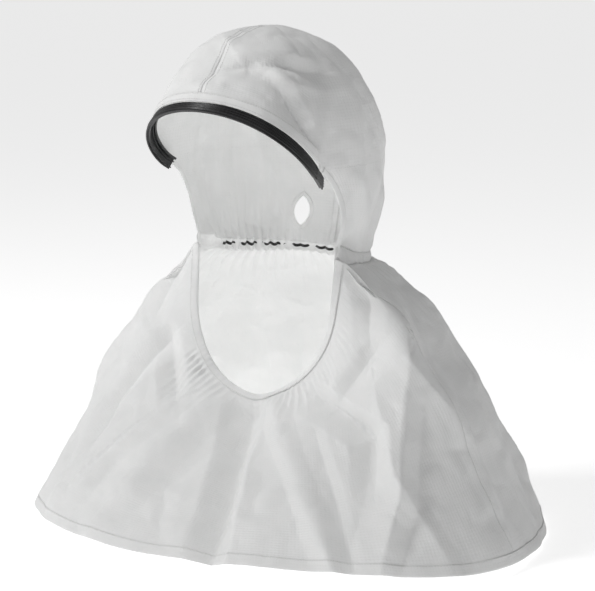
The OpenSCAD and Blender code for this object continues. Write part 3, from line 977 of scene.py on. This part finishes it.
# %% Cape panels
SHOULDER = 84.0
cape_ts = np.concatenate([np.linspace(0, 0.3, 62), np.linspace(0.3, 1, 92)[1:]])


def cape_panel(name, node, us):
    """A panel of the cape, which replaces its CAD solid."""
    obj = cloth_panel(name, "cape", cape_ts, us, cloth_finish)
    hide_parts(node)
    bend_cape(obj)
    return obj


bib_us = np.concatenate([[-SHOULDER], np.linspace(-SIDE, SIDE, 318), [SHOULDER]])
bib = cape_panel("bib_cloth", "bib_panel", bib_us)
cape_left = cape_panel("cape_cloth_left", "cape_panel_left", np.linspace(SHOULDER, 180, 190))
cape_right = cape_panel("cape_cloth_right", "cape_panel_right", np.linspace(-180, -SHOULDER, 190))
print("bib, left and right, m2:", [round(area_of(o), 3) for o in (bib, cape_left, cape_right)])
for name, node, u0 in (("shoulder_strip_left", "shoulder_tape_left", SHOULDER),
                       ("shoulder_strip_right", "shoulder_tape_right", -SHOULDER),
                       ("back_strip", "back_seam_tape", 180.0)):
    strip = seam_strip(name, "cape", np.linspace(0.02, 0.955, 150), u0)
    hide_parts(node)
    bend_cape(strip)

# %% [markdown]
# ### The edges
#
# The edges are bound by strips. Round the chin the strip is wide and holds an elastic, and the
# hem is the cape's own edge turned up: both are sheets wrapped round the edge, whose height
# above the cloth goes from one side to the other. Beside the face it is a flat narrow band.

# %% Bindings
EDGE_TURN = 0.14  # how far from the edge, in w, a folded strip has reached its side


def wrapped(name, kind, edge_t, us, width, thick, material, inward=1.0):
    """A strip folded over the edge at t = edge_t. Across it, w runs from -1 on the inside, over
    the edge at 0, to 1 on the outside; it lies `width` mm down the cloth on both sides."""
    w = np.concatenate([np.linspace(-1, -0.12, 7), np.linspace(-0.1, 0.1, 7), np.linspace(0.12, 1, 7)])
    e = np.full_like(us, edge_t)
    step = 0.02 * inward
    rate = np.linalg.norm(BASES[kind](e + step, us) - BASES[kind](e, us), axis=-1) / 0.02
    t = edge_t + inward * np.abs(w)[:, None] * width / rate[None, :]
    lift = thick * np.clip(np.sin(np.clip(w / EDGE_TURN, -1, 1) * np.pi / 2), -1, 1)
    points = cloth(kind, t, us[None, :] + 0 * t, 0.0)
    normal = outward(kind, t, us[None, :] + 0 * t)
    past = unit(BASES[kind](e, us) - BASES[kind](e + step, us)) * thick * MM
    over = np.sqrt(np.clip(1 - (w / EDGE_TURN) ** 2, 0, 1))
    points = points + lift[:, None, None] * MM * normal + over[:, None, None] * past[None]
    return sheet_from(name, points, material, BINDING, flip=inward > 0)


def cape_rate(us, edge_t, next_t):
    """How many mm of the plain cape one whole unit of t is, beside its edge at t = edge_t."""
    steps = cape_base(np.full_like(us, next_t), us) - cape_base(np.full_like(us, edge_t), us)
    return np.linalg.norm(steps, axis=-1) / 0.02


chin_us = np.linspace(-SIDE + 0.3, SIDE - 0.3, 420)
chin_binding = wrapped("chin_binding", "cape", 0.0, chin_us, 8.5, 1.3, tape_finish)
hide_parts("chin_casing")
bend_cape(chin_binding)
rate = cape_rate(chin_us, 0.0, 0.02)
chin_thread = stitches("chin_thread", [line_on("cape", 7.3 / rate, chin_us, 1.75)], step=3.2, length=2.1)
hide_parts("chin_stitching")
bend_cape(chin_thread)
under_us = chin_us[20:-20]
elastic_t = 3.6 / rate[20:-20]
chin_band = swept("chin_elastic_band", cloth("cape", elastic_t, under_us, -0.7),
                  outward("cape", elastic_t, under_us), flat_oval(4.4, 0.7), white_knit)
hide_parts("chin_elastic")
bend_cape(chin_band)


def face_edge(name, node, side):
    """The narrow binding beside the face: a flat strip on the hood's front edge that goes on over
    the neck band to the cape."""
    t = np.linspace(1.0, 2.0, 90)
    u = np.full_like(t, side * (SIDE + 1.6))
    path, normals = cloth("hood", t, u), outward("hood", t, u)
    on = np.linspace(0, 1, 8)[1:, None]
    path = np.concatenate([path, lerp(path[-1], cloth("cape", 0.0, u[-1]), on)])
    normals = np.concatenate([normals, np.repeat(normals[-1:], len(on), 0)])
    obj = swept(name, path, normals, flat_oval(7.5, 2.4), tape_finish)
    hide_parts(node)
    bend_hood(obj)


face_edge("face_edge_left", "face_binding_left", 1)
face_edge("face_edge_right", "face_binding_right", -1)
hem_us = np.linspace(-180, 180, 700)
hem = wrapped("turned_hem", "cape", 1.0, hem_us, 13.0, 0.5, cloth_finish, inward=-1.0)
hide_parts("cape_hem")
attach(hem, "cape")
rate = cape_rate(hem_us, 1.0, 0.98)
hem_thread = stitches("hem_thread", [line_on("cape", 1 - 11.6 / rate, hem_us, 0.8)])
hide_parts("hem_stitching")
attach(hem_thread, "cape")
print("hem, m round:", round(run_of(cloth("cape", 1.0, hem_us))[-1], 3))

# %% [markdown]
# ## The flat sizes of the cloth panels
#
# For each panel, the flat size it is cut to is printed. The area is printed too, because
# none of them is a rectangle. Both sizes are worked out without looking at the folds.

CLOTH_THICK = 0.001


def solid_volume(node):
    """The volume of a CAD solid: the sum of the signed tetrahedra from the origin to its faces."""
    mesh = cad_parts[node].data
    mesh.calc_loop_triangles()
    points = np.array([v.co for v in mesh.vertices])
    faces = np.array([f.vertices for f in mesh.loop_triangles])
    a, b, c = (points[faces[:, i]] for i in range(3))
    return abs(float(np.einsum("ij,ij->i", a, np.cross(b, c)).sum() / 6))


def longest_runs(kind, t_range, u_range):
    """The longest row and the longest column of the plain surface, in metres."""
    t, u = np.meshgrid(np.linspace(*t_range, 120), np.linspace(*u_range, 120), indexing="ij")
    points = BASES[kind](t, u) * MM
    rows = np.linalg.norm(np.diff(points, axis=1), axis=-1).sum(1)
    columns = np.linalg.norm(np.diff(points, axis=0), axis=-1).sum(0)
    return float(rows.max()), float(columns.max())


def declare(obj, node, kind, t_range, u_range):
    """Prints a cut sheet's flat box, from the plain surface, and its area, from the CAD solid, so
    neither comes from the folded mesh, whose area is printed beside them."""
    flat = tuple(round(x, 2) for x in longest_runs(kind, t_range, u_range))
    area = round(solid_volume(node) / CLOTH_THICK, 3)
    print(obj.name, "flat", flat, "area", area, "folded mesh", round(area_of(obj), 3))


declare(panel_left, "crown_panel_left", "hood", (0, 2), (0, 180))
declare(panel_right, "crown_panel_right", "hood", (0, 2), (-180, 0))
declare(bib, "bib_panel", "cape", (0, 1), (-SHOULDER, SHOULDER))
declare(cape_left, "cape_panel_left", "cape", (0, 1), (SHOULDER, 180))
declare(cape_right, "cape_panel_right", "cape", (0, 1), (-180, -SHOULDER))

# %% [markdown]
# ## The floor and the light
#
# A wide flat pale floor, which glows, lies under the hood, so it can be seen from every side. The
# main light is a soft one in front, above and at the wearer's right. Weak light comes from above
# behind and from all round. Two faint lamps inside stand for what the thin cloth lets through.

# %% Stage and lights
FLOOR_HALF = 40.0
FLOOR_Z = -0.612
ends = (-FLOOR_HALF, FLOOR_HALF)
floor_points = np.array([[x, y, FLOOR_Z] for x in ends for y in ends])
floor_finish, tree, shader = new_material("pale_floor", (0.90, 0.90, 0.90), 0.9, Emission_Strength=0.62)
shader.inputs["Emission Color"].default_value = (1, 1, 1, 1)
floor = mesh_from("floor", floor_points, np.array([[0, 2, 3, 1]]), floor_finish)

world = bpy.data.worlds.new("studio")
world.use_nodes = True
sky = world.node_tree.nodes["Background"].inputs
sky["Color"].default_value = (1, 1, 1, 1)
sky["Strength"].default_value = 0.22
bpy.context.scene.world = world


def soft_light(name, azimuth, elevation, distance, size, power):
    """A square area light aimed at the hood."""
    data = bpy.data.lights.new(name, "AREA")
    data.size, data.energy = size, power
    obj = bpy.data.objects.new(name, data)
    bpy.context.scene.collection.objects.link(obj)
    turn_to(obj, AIM + distance * look_from(azimuth, elevation), AIM)


soft_light("key", -48, 48, 2.4, 0.45, 25)
soft_light("top", 150, 70, 2.4, 1.6, 4)


def glow(name, place, power, radius=0.07):
    """A soft lamp inside the hood, for the light that the thin cloth lets through."""
    data = bpy.data.lights.new(name, "POINT")
    data.energy, data.shadow_soft_size = power, radius
    obj = bpy.data.objects.new(name, data)
    obj.location = place
    obj.visible_camera = False
    bpy.context.scene.collection.objects.link(obj)


glow("glow_cape", (0.02, 0.06, -0.44), 0.03)
glow("glow_head", (0.0, 0.0, -0.17), 0.03)
bpy.context.scene.view_settings.view_transform = "Standard"
